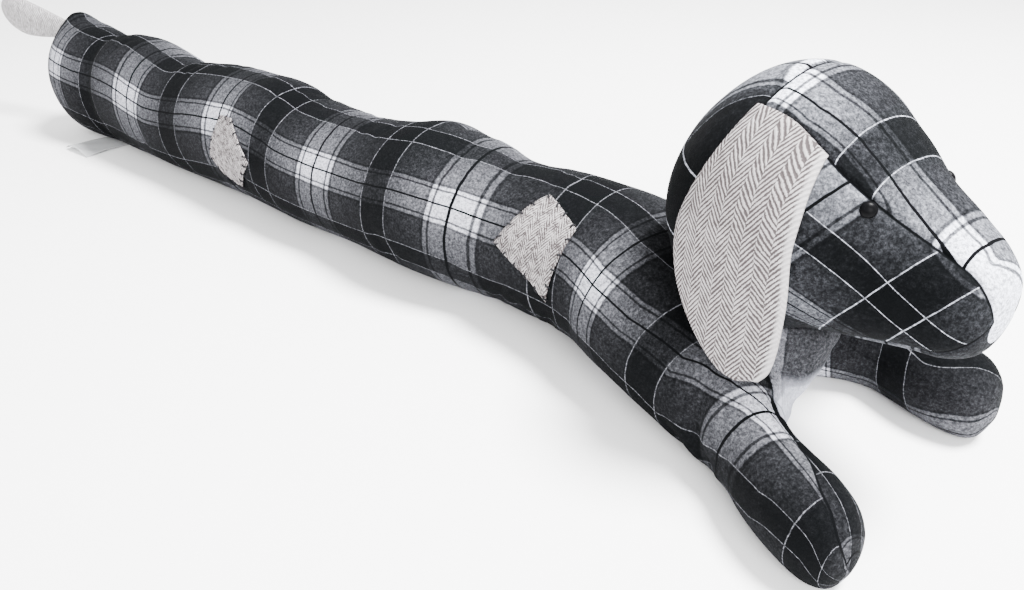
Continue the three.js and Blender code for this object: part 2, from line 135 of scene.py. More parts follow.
# Rings of the head: forward of the skull's middle, height of the middle, half the width, half
# the height, how square the ring is, and half the width of the strip over its top
HEAD_AT = (823, -16.5)
HEAD_TURN = math.radians(-18)
HEAD_ROWS = [
    (-62.5, 128.5, 3, 3, 2, 1.8),
    (-59, 129.5, 20, 22, 2, 12),
    (-44, 131.5, 46, 47.5, 2, 27),
    (-23, 134, 62.5, 63.5, 2, 36),
    (0, 135.5, 67, 69, 2, 39),
    (23, 135, 62.5, 62.5, 2.1, 38.5),
    (44, 132.5, 49.5, 51, 2.2, 34.5),
    (64, 128, 38.5, 40.5, 2.3, 27.5),
    (84.5, 124, 31, 32, 2.4, 21.5),
    (99, 121.5, 25.5, 27, 2.4, 18),
    (109, 120, 16.5, 18.5, 2.2, 12.5),
    (112.5, 119.5, 3, 3, 2, 2.3),
]
# The lower edge of a side panel: row of the head's table, and angle below its widest level
PANEL_UNDER_ROWS = [(0, 80), (4, 78), (6, 66), (7.5, 52), (8.8, 42), (9.6, 30), (10.3, 24), (11, 20)]
PANEL_TIP_ROWS = (9.0, 10.45)  # its front end narrows to a round tip between these rows
PANEL_TIP_ANGLE = math.radians(8)
CROWN_SEAM_ROW = 4
HEAD_PANELS = ("top", "left", "under", "right", "back")
PANEL_COUNTS = (56, 60, 48)  # points round a ring on the top, on each side and underneath
HEAD_STEP = 1.7
SEAM_WIDTH = 1.7
SEAM_DEPTH = 1.5
UNDER_SEAM_DEPTH = 0.9
CROWN_SEAM_DEPTH = 1.3
HEAD_PUFF = 0.7  # how far the filling swells and sinks the cloth between seams
NO_SEAM = 9  # millimetres, farther from a seam than its groove shows

# Where an eye lies, as a row of the head's table and an angle, and its size
EYE_ROW = 6.68
EYE_ANGLE = {1: math.radians(41), -1: math.radians(142)}
EYE_RADIUS = 3.8
EYE_DOME = 2.5
EYE_SIDES = 32

# An ear seen from the side: forward and height of its back edge, then of its front edge
EAR_ROWS = [
    (-1, 191.5, 36, 178),
    (-4.5, 176, 37.8, 167),
    (-10, 154, 39.8, 152),
    (-14, 131, 41, 134),
    (-10, 111, 43.5, 113),
    (0.5, 94, 44.5, 95),
    (13, 80, 44.5, 81),
    (24, 70, 43.5, 72),
    (33, 65.5, 41, 67),
]
EAR_ROOT_GAP = 0.9
EAR_HANG_GAP = 3.0
EAR_FLARE = 5.0
EAR_THICKNESS = 3.8
EAR_RIM = 1.0
EAR_CROWN = 4.0  # how far its top edge bows up between its corners
FAR_EAR_TUCK = 15.0  # how much lower the far ear is sewn on
EAR_GRAIN_LEAN = math.radians(-4)
EAR_LENGTH = 128.0
EAR_GRID = (90, 44)  # points down and across
EAR_EDGE_ROUND = 4.5  # how far in from its edge it is at its full thickness
EAR_EDGE_SEWN = 4.2  # how far in from its edge its seam is pressed in
FAR_EAR_CLOSER = 2.2
FAR_EAR_THIN = 0.55  # the far ear's thickness at its root, as a share of the near one's

# Where a patch's corners lie: way along the tube's middle, and angle up from its right side
SHOULDER_PATCH = [(652, 19), (678, 65), (715, 49), (713, 30), (707, -6)]
REAR_PATCH = [(335, -3), (346, 24), (351, 35), (368, 35), (382, 21), (396, 7), (372, -26), (348, -19)]
PATCH_LIFT = 0.45
PATCH_THICKNESS = 1.2
PATCH_STEPS = 16
STITCH_PITCH = 11.0
STITCH_RADIUS = 0.62
STITCH_POINTS = 7
# A stitch over a patch's edge: share of the way along it, and how high it lies off the tube
STITCH_LIFT = [(0, 0.0), (0.3, 1.4), (0.5, 2.3), (0.8, 2.1), (1, 1.2)]

LABEL_THICKNESS = 0.55
LABEL_GRID = (30, 22)  # points along and across

# How the check lies on the tube and the right leg. Ways at which its dark lines come round, in
# repeats of the check, then the angle of its long dark line at each way.
CHECK_RINGS = [
    (-60, -1), (55, 0), (103, 0.5), (199, 1), (262, 1.5), (347, 2), (407, 2.5), (472, 3),
    (548, 3.5), (612, 4), (702, 4.5), (763, 5), (824, 5.5), (875, 6), (892, 6.125),
    (928, 6.405), (943, 6.585), (948, 6.8), (960, 6.9),
]
LEFT_CHECK_RINGS = [
    (0, 4.66), (724, 4.66), (790, 5.42), (856, 6.15), (894.7, 6.405), (915.3, 6.595), (936, 6.73),
    (951, 6.83), (965, 6.85),
]
LEFT_RING_SLANT = 0.129
CHECK_LINE = [
    (0, 30), (100, 28), (199, 22), (270, 23), (348, 30), (410, 31), (473, 28), (549, 27),
    (612, 32), (763, 31), (800, 34), (836, 46), (860, 76), (872, 100), (883, 110), (903, 106),
    (922, 97), (944, 88), (960, 86),
]
LEFT_CHECK_LINE = [
    (0, 31), (724, 31), (780, 8), (830, -40), (880, -60), (919, -59), (942, -43), (960, -40),
]
CHECK_ROUND = 99.0  # the check's repeat round the tube
# How much closer the check lies round the right leg, where its cloth is drawn together
CHECK_DRAWN = [(0, 1), (836, 1), (881, 1.22), (907, 1.37), (928, 1.8), (944, 2.3), (960, 2.3)]
# Where the left leg's check takes over from the tube's: x, and y of the line between them
LEGS_PART = [(720, -3), (760, -5), (800, -14), (861, -31)]
LEGS_PART_SOFT = 8
LEGS_PART_X = (728, 790)

# The seam on the right leg's inner top: way and angle. Past it lies a darker piece of the check.
LEG_SEAM = [
    (850, 150), (860, 125), (869, 117), (890, 117), (911, 100), (926, 80), (935, 73), (943, 62),
    (950, 58),
]
LEG_SEAM_WAYS = (850, 960)
LEG_SEAM_START = 866
LEG_SEAM_INNER_Y = -30
LEG_SEAM_WIDTH = 2.8
LEG_SEAM_DEPTH = 0.9
LEG_SEAM_SHIFT = (0.27, 0.40)  # how far the check past the seam is shifted, in repeats

# The chest's own piece: how far out of each leg it starts, as a share of the leg's rings, the
# angle past which it covers the right leg's inner side, the way where that ends, and its x
CHEST_CLEAR = (1.05, 1.15)
CHEST_INNER_ANGLE = 126
CHEST_INNER_END = 876
CHEST_X = (814, 882)
# Its check, in repeats: by the way across it from its middle, and by height
CHEST_MIDDLE = (856, -42)
CHEST_GRAIN = (0.89, 0.45)
CHEST_ACROSS = [(-60, 6.03), (-14, 6.12), (-2, 6.36), (0, 6.405), (2, 6.36), (14, 6.30), (40, 6.12)]
CHEST_UP = [(0, 0.05), (46, 0.12), (56, 0.20), (100, 0.36)]
# Its fold, pushed out beside the right leg: middle, half size and push
FOLD_AT = (850, -46, 40)
FOLD_SIZE = (16, 14, 22)
FOLD_PUSH = (7.0, -4.0, -4.0)

TOP_LINE = [(-60, 27), (0, 27.3), (22, 27.3), (45, 21), (61, 19.8), (110, 19), (121, 23), (130, 27)]
TOP_CROSS = [(-62, -0.5), (-5, 0), (54, 0.5), (111, 1), (114, 1.026), (400, 1.5)]
TOP_LEFT_REPEAT = [(118, 134), (134, 420)]
TOP_RIGHT_REPEAT = 68
# On its side panels: the run of its bands, a crossing of its dark panes, and its repeats
SIDE_GRAIN = (0.84, 0.543)
SIDE_CROSSING = (1.5, 146)
SIDE_REPEAT = (108, 66)
# On its back: height of the skull's hindmost point, the way there from the crown seam, and the
# cross bands by how far right they lie
BACK_HEIGHT = 134
BACK_WAY = 105
BACK_ACROSS = [(-110, -0.9), (-30, -0.35), (0, -0.04), (40, 0.12), (52, 0.44), (110, 0.56)]

# Creases of the body: way, angle at the middle, half the angle it runs for, how far its ends
# run forward, half its width, and its depth
CREASES = [
    (100, 95, 80, -6, 9, 2.0),
    (148, 60, 30, 14, 6, 1.8),
    (236, 95, 55, 9, 9, 1.6),
    (412, 100, 60, -12, 10, 1.8),
    (470, 110, 35, 10, 8, 1.2),
    (575, 112, 45, 14, 9, 1.6),
    (632, 95, 50, -16, 9, 1.8),
    (652, -32, 22, 12, 5, 2.0),
    (676, -40, 20, -10, 5, 2.0),
    (700, -34, 22, 12, 5, 1.8),
    (748, 5, 40, 12, 8, 1.2),
    (857, 20, 75, -9, 4.5, 4.2),
    (868, -25, 35, 6, 4, 2.6),
    (845, -35, 30, -6, 5, 2.2),
]
SMALL_CREASE_SEED = 11
SMALL_CREASE_STEP = 14.0
# The pointed upper corner of the tail end: x and y, half size, how far it stands up, and the
# heights between which it starts
CORNER_AT = (34, 9)
CORNER_SIZE = (9, 20)
CORNER_RISE = 8.5
CORNER_HEIGHTS = (90, 112)

# How fine the body's skin is, where it is smoothed most, and how far it stays off the head
VOXEL = 2.4
EVEN_TURNS = 24  # smoothing turns at the legs and chest, and a third of them on the tube
EVEN_FROM = (700, 740)
BODY_HEAD_GAP = 0.6


def small_creases():
    """Short soft creases round the tube, at its top and low down, each a little different."""
    chance = np.random.default_rng(SMALL_CREASE_SEED)
    rows = []
    for way in np.arange(28, 700, SMALL_CREASE_STEP):
        high = chance.random() < 0.6
        middle = chance.uniform(70, 128) if high else chance.uniform(-48, -8)
        rows.append((way + chance.uniform(-6, 6), middle, chance.uniform(14, 34), chance.uniform(-12, 12),
                     chance.uniform(3.0, 6.0), chance.uniform(0.5, 1.5)))
    return rows


def smooth(rows, place):
    """Values between a table's rows, on one smooth curve through them."""
    rows = np.asarray(rows, float)
    first = 2 * rows[0] - rows[1]
    last = 2 * rows[-1] - rows[-2]
    rows = np.vstack([first, rows, last])
    low = np.clip(np.floor(place).astype(int), 0, len(rows) - 4)
    f = (place - low)[..., None]
    a, b, c, d = (rows[low + k] for k in range(4))
    return b + 0.5 * f * ((c - a) + f * ((2 * a - 5 * b + 4 * c - d) + f * (3 * b - a - 3 * c + d)))


def places(rows, step, size):
    """Places along a table about one step apart, by the size of each stretch."""
    rows = np.asarray(rows, float)
    marks = [np.linspace(k, k + 1, max(1, round(size(rows[k], rows[k + 1]) / step)), endpoint=False)
             for k in range(len(rows) - 1)]
    return np.append(np.concatenate(marks), len(rows) - 1)


def plan(a, b):
    return math.hypot(b[0] - a[0], b[1] - a[1])


def table_at(value, table):
    """A table's second column at values of its first, straight between its rows."""
    return np.interp(value, *np.transpose(table))


def circle(sides):
    """Angles once round, in even steps."""
    return np.arange(sides) * 2 * math.pi / sides


def unit(vectors):
    return vectors / np.linalg.norm(vectors, axis=-1, keepdims=True)


def hump(value, width):
    """1 at 0, and less with distance to either side."""
    return np.exp(-(value / width) ** 2)


def grid_shares(rows, columns):
    """How far down and across each point of a grid lies, from 0 to 1."""
    return np.meshgrid(np.linspace(0, 1, rows), np.linspace(0, 1, columns), indexing="ij")


def tube_points(rows, place, angle):
    """Points on a filled tube: angle 0 is its right side, and what would sink lies on the floor."""
    values = smooth(rows, place)
    small = 0.01
    ahead = smooth(rows, np.minimum(place + small, len(rows) - 1))[..., :2]
    behind = smooth(rows, np.maximum(place - small, 0))[..., :2]
    way = unit(ahead - behind)
    right = np.stack([way[..., 1], -way[..., 0]], -1)
    lean = np.where(np.sin(angle) > 0, values[..., 5], values[..., 6]) * np.sin(angle) ** 2
    across = values[..., 3] * np.cos(angle)
    flat = values[..., :2] + across[..., None] * right + lean[..., None] * way
    height = np.maximum(0, values[..., 2] + values[..., 4] * np.sin(angle))
    return np.concatenate([flat, height[..., None]], -1)


def tube_rings(rows, step, sides):
    return tube_points(rows, *np.meshgrid(places(rows, step, plan), circle(sides), indexing="ij"))


HEAD_FORWARD = np.array([math.cos(HEAD_TURN), math.sin(HEAD_TURN), 0])
HEAD_RIGHT = np.array([HEAD_FORWARD[1], -HEAD_FORWARD[0], 0])


def head_place(forward, right, height):
    """Points in the dog's own frame from the head's directions."""
    spot = np.multiply.outer(forward, HEAD_FORWARD) + np.multiply.outer(right, HEAD_RIGHT)
    return spot + np.stack([np.full_like(height, HEAD_AT[0]), np.full_like(height, HEAD_AT[1]), height], -1)


def bent_power(value, power):
    return np.sign(value) * np.abs(value) ** power


def head_local(place, angle, out=0):
    """Forward, right and height on the head, or a way out from it."""
    forward, middle, wide, tall, square, _ = np.moveaxis(smooth(HEAD_ROWS, place), -1, 0)
    return (forward, (wide + out) * bent_power(np.cos(angle), 2 / square),
            middle + (tall + out) * bent_power(np.sin(angle), 2 / square))


FINE_PLACES = np.linspace(0, len(HEAD_ROWS) - 1, 600)
FINE_HEAD = smooth(HEAD_ROWS, FINE_PLACES)


def head_ring_at(forward):
    """Middle, half width, half height and squareness of the head's ring at a way forward."""
    return [np.interp(forward, FINE_HEAD[:, 0], FINE_HEAD[:, k]) for k in (1, 2, 3, 4)]


def cheek(forward, height):
    """How far out the head's side is, and below its widest level as far as there."""
    middle, wide, tall, square = head_ring_at(forward)
    rise = np.clip((height - middle) / tall, 0, 1)
    return wide * (1 - rise ** square) ** (1 / square)


def placed(name, data):
    """An object in the scene that shows a mesh, a light or a camera."""
    thing = bpy.data.objects.new(name, data)
    bpy.context.scene.collection.objects.link(thing)
    return thing


def made(name, points, faces, uv=None):
    """A mesh piece from points in millimetres. uv holds a pair for each corner of each face."""
    mesh = bpy.data.meshes.new(name)
    mesh.from_pydata((np.asarray(points) * MM + START).tolist(), [], [tuple(f) for f in faces])
    mesh.polygons.foreach_set("use_smooth", [True] * len(mesh.polygons))
    mesh.update()
    piece = placed(name, mesh)
    if uv is not None:
        set_map(piece, "cloth", uv)
    return piece


def set_map(piece, name, uv):
    """A map over a piece, from a pair of numbers for each corner of each face."""
    layer = piece.data.uv_layers.new(name=name)
    layer.data.foreach_set("uv", np.asarray(uv, np.float32).ravel())


def add_map(piece, name, first, second):
    """A map over a piece, from two numbers at each of its points."""
    at = corners_of(piece)[0]
    set_map(piece, name, np.stack([first[at], second[at]], -1))


def ring_faces(rings, sides):
    """Quads between rings, then a fan over each end about one added point."""
    k, s = np.meshgrid(np.arange(rings - 1), np.arange(sides), indexing="ij")
    a, b = k * sides + s, k * sides + (s + 1) % sides
    quads = np.stack([a, b, b + sides, a + sides], -1).reshape(-1, 4).tolist()
    first, last = rings * sides, rings * sides + 1
    start = (rings - 1) * sides
    quads += [(first, (s + 1) % sides, s) for s in range(sides)]
    quads += [(last, start + s, start + (s + 1) % sides) for s in range(sides)]
    return quads


def ring_points(rings):
    return np.vstack([rings.reshape(-1, 3), rings[0].mean(0), rings[-1].mean(0)])


def read_points(piece, what):
    """Three numbers for each of a piece's points."""
    values = np.empty(len(piece.data.vertices) * 3, np.float32)
    piece.data.vertices.foreach_get(what, values)
    return values.reshape(-1, 3).astype(float)


def points_of(piece):
    """A piece's points in millimetres from the tail-end seam."""
    return (read_points(piece, "co") - START) / MM


def move_points(piece, points):
    piece.data.vertices.foreach_set("co", (points * MM + START).astype(np.float32).ravel())
    piece.data.update()


def corners_of(piece):
    """The point and the face at each corner of each face, and each face's first corner."""
    at = np.empty(len(piece.data.loops), np.int32)
    piece.data.loops.foreach_get("vertex_index", at)
    count = np.empty(len(piece.data.polygons), np.int32)
    piece.data.polygons.foreach_get("loop_total", count)
    return at, np.repeat(np.arange(len(count)), count), np.cumsum(count) - count


def evened(piece, points, turns, push=0.5, pull=-0.53):
    """The points after smoothing that keeps the piece's fullness."""
    ends = np.empty(len(piece.data.edges) * 2, np.int32)
    piece.data.edges.foreach_get("vertices", ends)
    a, b = ends.reshape(-1, 2).T
    size = len(points)
    count = np.bincount(a, minlength=size) + np.bincount(b, minlength=size)
    for step in [push, pull] * turns:
        total = np.stack([np.bincount(a, points[b, k], size) + np.bincount(b, points[a, k], size)
                          for k in range(3)], -1)
        points = points + step * (total / count[:, None] - points)
    return points


def middle_line(rows):
    """Points every millimetre or so along a tube's middle, with the way to each."""
    values = smooth(rows, np.linspace(0, len(rows) - 1, 40 * len(rows)))
    way = np.concatenate([[0], np.cumsum(np.hypot(*np.diff(values[:, :2], axis=0).T))])
    return values, way


def nearest(points, values):
    """Which point of a middle line lies nearest to each point, seen from above, and how far off."""
    steps = np.hypot(points[:, None, 0] - values[None, :, 0], points[:, None, 1] - values[None, :, 1])
    near = steps.argmin(1)
    return near, steps[np.arange(len(points)), near]


def on_tube(points, rows, start=0.0):
    """Way along a tube, angle round it, and its half width there, for each point."""
    values, way = middle_line(rows)
    near, _ = nearest(points, values)
    low = np.clip(near, 1, len(values) - 2)
    along = unit(values[low + 1, :2] - values[low - 1, :2])
    offset = points[:, :2] - values[near, :2]
    ahead = (offset * along).sum(1)
    right = offset[:, 0] * along[:, 1] - offset[:, 1] * along[:, 0]
    up = points[:, 2] - values[near, 2]
    angle = np.degrees(np.arctan2(up / values[near, 4], right / values[near, 3]))
    return start + way[near] + ahead, angle, values[near, 3]


def depth_in(points, rows):
    """How far out points lie from a tube's middle line, as a share of its rings."""
    values, _ = middle_line(rows)
    near, aside = nearest(points, values)
    size = np.maximum(values[near], 1e-3)
    return np.hypot(aside / size[:, 3], (points[:, 2] - size[:, 2]) / size[:, 4])


def from_below(angle):
    """The same angle in degrees, from -90 up to 270."""
    return (angle + 90) % 360 - 90


def step_up(value, low, high):
    """0 below low, 1 above high, and smooth between."""
    f = np.clip((value - low) / (high - low), 0, 1)
    return f * f * (3 - 2 * f)


class Shade:
    """A number that varies over a surface. Python's operators on it add Math nodes."""

    def __init__(self, finish, socket):
        self.finish = finish
        self.socket = socket

    def maths(self, operation, *values):
        sockets = dict(enumerate(values))
        return self.finish.node("ShaderNodeMath", {"operation": operation}, sockets)

    def __add__(self, other):
        return self.maths("ADD", self, other)

    def __radd__(self, other):
        return self.maths("ADD", other, self)

    def __sub__(self, other):
        return self.maths("SUBTRACT", self, other)

    def __rsub__(self, other):
        return self.maths("SUBTRACT", other, self)

    def __mul__(self, other):
        return self.maths("MULTIPLY", self, other)

    def __rmul__(self, other):
        return self.maths("MULTIPLY", other, self)

    def __truediv__(self, other):
        return self.maths("DIVIDE", self, other)

    def __pow__(self, power):
        return self.maths("POWER", self, power)

    def __abs__(self):
        return self.maths("ABSOLUTE", self)

    def part(self):
        """What is left of it past the whole number below."""
        return self.maths("FRACT", self)

    def highest(self, other):
        return self.maths("MAXIMUM", self, other)

    def lowest(self, other):
        return self.maths("MINIMUM", self, other)

    def past(self, edge):
        """1 past an edge, 0 before it."""
        return self.maths("GREATER_THAN", self, edge)

    def between(self, low, high):
        """0 at low, 1 at high, held at both ends."""
        settings = {"interpolation_type": "SMOOTHSTEP", "clamp": True}
        sockets = {"Value": self, "From Min": low, "From Max": high}
        return self.finish.node("ShaderNodeMapRange", settings, sockets)


class Finish:
    """A material, built by naming nodes: settings are set first, then values and links."""

    def __init__(self, name):
        self.material = bpy.data.materials.new(name)
        self.material.use_nodes = True
        self.tree = self.material.node_tree
        self.tree.nodes.clear()

    def node(self, kind, settings, sockets, output=0):
        made_node = self.tree.nodes.new(kind)
        for key, value in settings.items():
            if key == "stops":
                self.set_stops(made_node.color_ramp, value)
            else:
                setattr(made_node, key, value)
        for key, value in sockets.items():
            self.feed(made_node.inputs[key], value)
        return Shade(self, made_node.outputs[output]) if made_node.outputs else None

    def feed(self, socket, value):
        if isinstance(value, Shade):
            self.tree.links.new(value.socket, socket)
        else:
            socket.default_value = value

    def set_stops(self, ramp, stops):
        while len(ramp.elements) < len(stops):
            ramp.elements.new(1.0)
        for element, (place, grey) in zip(ramp.elements, stops):
            element.position = place
            element.color = (grey, grey, grey, 1)

    def mixed(self, factor, first, second):
        """A colour between two: the Mix node's inputs 6 and 7 and its output 2 are colours."""
        return self.node("ShaderNodeMix", {"data_type": "RGBA"}, {0: factor, 6: first, 7: second}, 2)

    def noise(self, vector, scale, detail=2.0, rough=0.6):
        sockets = {"Vector": vector, "Scale": scale, "Detail": detail, "Roughness": rough}
        return self.node("ShaderNodeTexNoise", {}, sockets)

    def cloth_map(self, name="cloth"):
        """The two numbers of one of the piece's own maps."""
        spot = self.node("ShaderNodeUVMap", {"uv_map": name}, {})
        return [self.node("ShaderNodeSeparateXYZ", {}, {0: spot}, k) for k in (0, 1)]

    def place(self):
        """Where each point of the piece lies, in metres."""
        return self.node("ShaderNodeTexCoord", {}, {}, 3)

    def bumped(self, height, distance, strength):
        sockets = {"Height": height, "Distance": distance, "Strength": strength}
        return self.node("ShaderNodeBump", {}, sockets)

    def done(self, colour, rough, normal=None):
        sockets = {"Base Color": colour, "Roughness": rough, "Specular IOR Level": DULL}
        if normal is not None:
            sockets["Normal"] = normal
        shader = self.node("ShaderNodeBsdfPrincipled", {}, sockets)
        self.node("ShaderNodeOutputMaterial", {}, {"Surface": shader})
        return self.material


DULL = 0.03  # specular level of cloth, thread, tape and the matt eyes

# Lightness of the check's yarns, by how far they are from its thin dark line, in half repeats
CHECK_YARNS = [
    (0.0, 0.07), (0.009, 0.07), (0.013, 0.90), (0.186, 0.90), (0.194, 0.30), (0.212, 0.30),
    (0.220, 0.90), (0.256, 0.88), (0.272, 0.22), (0.290, 0.24), (0.305, 0.34), (0.560, 0.28),
    (0.795, 0.22), (0.835, 0.085), (1.0, 0.08),
]
WHITE_LINE_AT = 0.405  # from the thin dark line, in repeats
WHITE_LINE_WIDTH = 0.0030
DARK_LINE_EDGE = (0.0045, 0.007)
CLOTH_BLACK = (0.0014, 0.0017, 0.0020, 1)
# Painted light: a pale colour laid over the chest's lower part, standing in for the light that falls there
CHEST_PAINTED_LIGHT = (0.70, 0.72, 0.84, 1)


def check_cloth(name, with_chest, line_light, contrast, white):
    """Brushed check in black, grey and white, woven from the same bands both ways."""
    cloth = Finish(name)
    along, across = cloth.cloth_map()
    panel, seam = cloth.cloth_map("seams")
    place = cloth.place()
    if with_chest:
        past = panel.past(0.0)
        chest_along, chest_across = cloth.cloth_map("chest")
        bib, _ = cloth.cloth_map("bib")
        inside = bib.past(0.0)
        # The leg seam and the chest piece's edge count as seams here, for the painted shade below
        seam = seam.lowest(abs(panel)).lowest(abs(bib) * 0.03)
        along = along + past * LEG_SEAM_SHIFT[0]
        across = across + past * LEG_SEAM_SHIFT[1]
        along = along + (chest_along - along) * inside
        across = across + (chest_across - across) * inside
        # Painted light: the chest's piece is made paler, most on its lower part, standing in for the light
        # that falls on it
        painted_light_low_chest = 1.0 - chest_across.between(0.11, 0.19)
        paler = inside * (0.16 + 0.16 * painted_light_low_chest)

    def yarn(run):
        """Lightness of the yarns one way, and where their white and dark lines are."""
        away = 0.5 - abs(run.part() - 0.5)
        ramp = cloth.node("ShaderNodeValToRGB", {"stops": CHECK_YARNS}, {0: away * 2.0})
        off_line = abs(away - WHITE_LINE_AT)
        line = 1.0 - off_line.between(WHITE_LINE_WIDTH * 0.6, WHITE_LINE_WIDTH * 1.3)
        return ramp, line, 1.0 - away.between(*DARK_LINE_EDGE)

    wander = (cloth.noise(place, 60.0, 2.0) - 0.5) * 0.012
    ramp_a, line_a, dark_a = yarn(along + wander)
    ramp_b, line_b, dark_b = yarn(across + wander)
    light = (ramp_a * ramp_b) ** 0.5
    if with_chest:
        light = light + paler
    fleck = cloth.noise(place, 620.0, 4.0, 0.8) - 0.5
    blotch = cloth.noise(place, 210.0, 2.0) - 0.5
    light = light + fleck * 1.25 * (0.24 + light) + blotch * 0.16
    lines = line_a.highest(line_b) * (line_light + fleck * 1.6)
    light = light.highest(lines)
    # Painted shade: the cloth is darkened along the seams, where their grooves lie in shade
    light = light * (1.0 - 0.86 * dark_a.highest(dark_b)) * (0.25 + 0.75 * seam.between(0.0002, 0.0009))
    shade = light.highest(0.02) ** contrast
    colour = cloth.mixed(shade, CLOTH_BLACK, white)
    # Painted light on the chest's lower part
    if with_chest:
        colour = cloth.mixed(painted_light_low_chest * inside * 0.35, colour, CHEST_PAINTED_LIGHT)
    pile = fleck + cloth.noise(place, 2600.0, 2.0) * 0.6
    return cloth.done(colour, 0.92 + fleck * 0.1, cloth.bumped(pile, 0.0009, 0.55))


RIB_SLOPE = 1.47  # how steeply the herringbone's ribs climb across a column


def herringbone_cloth(name, column, pitch, contrast, paler, rough_weave, with_lit_edge=False):
    """Herringbone in cream and grey-brown: columns of slanting ribs that turn back and forth."""
    cloth = Finish(name)
    across, along = cloth.cloth_map()
    place = cloth.place()
    wander = (cloth.noise(place, 90.0, 2.0) - 0.5) * (column * 0.35)
    stripe = ((across + wander) / (2 * column)).part()
    zigzag = abs(stripe - 0.5) * (2 * column * RIB_SLOPE)
    run = ((along + wander * 0.5 + zigzag) / pitch + stripe.past(0.5) * 0.5).part()
    rib = 1.0 - abs(run - 0.5) * 2.0
    fleck = cloth.noise(place, 1500.0, 2.0, 0.7) - 0.5
    patchy = cloth.noise(place, 260.0, 2.0) - 0.5
    dark = (rib + fleck * rough_weave + patchy * rough_weave * 0.7).between(0.28, 0.60) * contrast
    # Painted highlight: near the ear's front edge the ribs fade and the cloth turns paler, standing in for
    # the light on that edge
    if with_lit_edge:
        edge, _ = cloth.cloth_map("edge")
        dark = dark * (0.22 + 0.78 * (edge + fleck * 0.0015).between(-0.0006, 0.0012))
        paler = paler + (1.0 - edge.between(0.0, 0.006)) * 0.45
    pale = cloth.mixed(fleck + 0.5 + paler, (0.30, 0.28, 0.28, 1), (0.46, 0.445, 0.45, 1))
    colour = cloth.mixed(dark, pale, (0.055, 0.047, 0.048, 1))
    normal = cloth.bumped((1.0 - rib) + fleck * 0.6, 0.0006, 0.6)
    return cloth.done(colour, 0.9 + fleck * 0.1, normal)


def plain_cloth(name, colour, scale):
    """Plain thread or tape, uneven in tone, with a fine grain."""
    cloth = Finish(name)
    grain = cloth.noise(cloth.place(), scale, 2.0)
    darker = tuple(c * 0.62 for c in colour[:3]) + (1,)
    normal = cloth.bumped(grain, 0.0003, 0.5)
    return cloth.done(cloth.mixed(grain, darker, colour), 0.85 + (grain - 0.5) * 0.1, normal)


def eye_gloss(name):
    """Black of the eyes, with a faint haze."""
    bead = Finish(name)
    haze = bead.noise(bead.place(), 500.0, 2.0)
    colour = bead.mixed(haze, (0.0008, 0.0008, 0.001, 1), (0.003, 0.003, 0.0035, 1))
    return bead.done(colour, 0.24 + haze * 0.2, bead.bumped(haze, 0.0002, 0.3))


def inside_head(points, gap):
    """How deep points lie in the head, as a share of its ring, with the head a gap larger."""
    offset = points - np.array([*HEAD_AT, 0])
    forward = offset @ HEAD_FORWARD
    right = offset @ HEAD_RIGHT
    middle, wide, tall, square = head_ring_at(forward)
    up = offset[:, 2] - middle
    share = (np.abs(right) / (wide + gap)) ** square + (np.abs(up) / (tall + gap)) ** square
    share[(forward < FINE_HEAD[0, 0]) | (forward > FINE_HEAD[-1, 0])] = 9
    return share ** (1 / square), forward, right, up, middle


def clear_of_head(points, gap):
    """The points, with those in the head moved out round its ring to lie a gap away."""
    share, forward, right, up, middle = inside_head(points, gap)
    deep = share < 1
    scale = 1 / np.maximum(share[deep], 0.05)
    moved = head_place(forward[deep], right[deep] * scale, middle[deep] + up[deep] * scale)
    points = points.copy()
    points[deep] = moved
    return points


def creased(points, normals):
    """The body's points with each crease drawn in and a soft ridge beside it."""
    way, angle, _ = on_tube(points, LONG_ROWS)
    shift = np.zeros(len(points))
    for at, middle, span, slant, half_width, depth in CREASES + small_creases():
        turn = (angle - middle + 180) % 360 - 180
        off = (way - at - slant * (turn / span)) / half_width
        hold = np.clip(1 - (turn / span) ** 2, 0, 1) ** 1.5
        shift -= depth * hold * (1 - 0.45 * off ** 2) * np.exp(-0.5 * off ** 2)
    return points + normals * shift[:, None]


def body_check_map(piece, points):
    """The check's own map over the body, in repeats, for each corner of each face."""
    at, face, first = corners_of(piece)
    way, angle, half = on_tube(points, LONG_ROWS)
    left_way, left_angle, left_half = on_tube(points, LEFT_LEG_ROWS, LEFT_LEG_ROWS[0][0])

    def unrolled(angles):
        """Angles from -90 up to 270, kept together over each face."""
        turned = from_below(angles[at])
        lead = turned[first][face]
        return turned + 360 * np.round((lead - turned) / 360)

    def spread(ways, angles, halves, line, rings):
        """Repeats along and across at each corner, from ways and angles at each point."""
        rise = unrolled(angles) - table_at(ways[at], line)
        round_mm = math.pi / 180 * halves[at] * rise
        return table_at(ways[at], rings), round_mm / CHECK_ROUND

    along, across = spread(way, angle, half, CHECK_LINE, CHECK_RINGS)
    across = across * table_at(way[at], CHECK_DRAWN)
    slanted = left_way + LEFT_RING_SLANT * np.clip(left_angle, -60, 120)
    along_left, _ = spread(slanted, left_angle, left_half, LEFT_CHECK_LINE, LEFT_CHECK_RINGS)
    _, across_left = spread(left_way, left_angle, left_half, LEFT_CHECK_LINE, LEFT_CHECK_RINGS)
    left_of = points[:, 1] - table_at(points[:, 0], LEGS_PART)
    side = step_up(left_of, 0, LEGS_PART_SOFT) * step_up(points[:, 0], *LEGS_PART_X)
    side = side[at]
    return np.stack([along + (along_left - along) * side, across + (across_left - across) * side], -1)


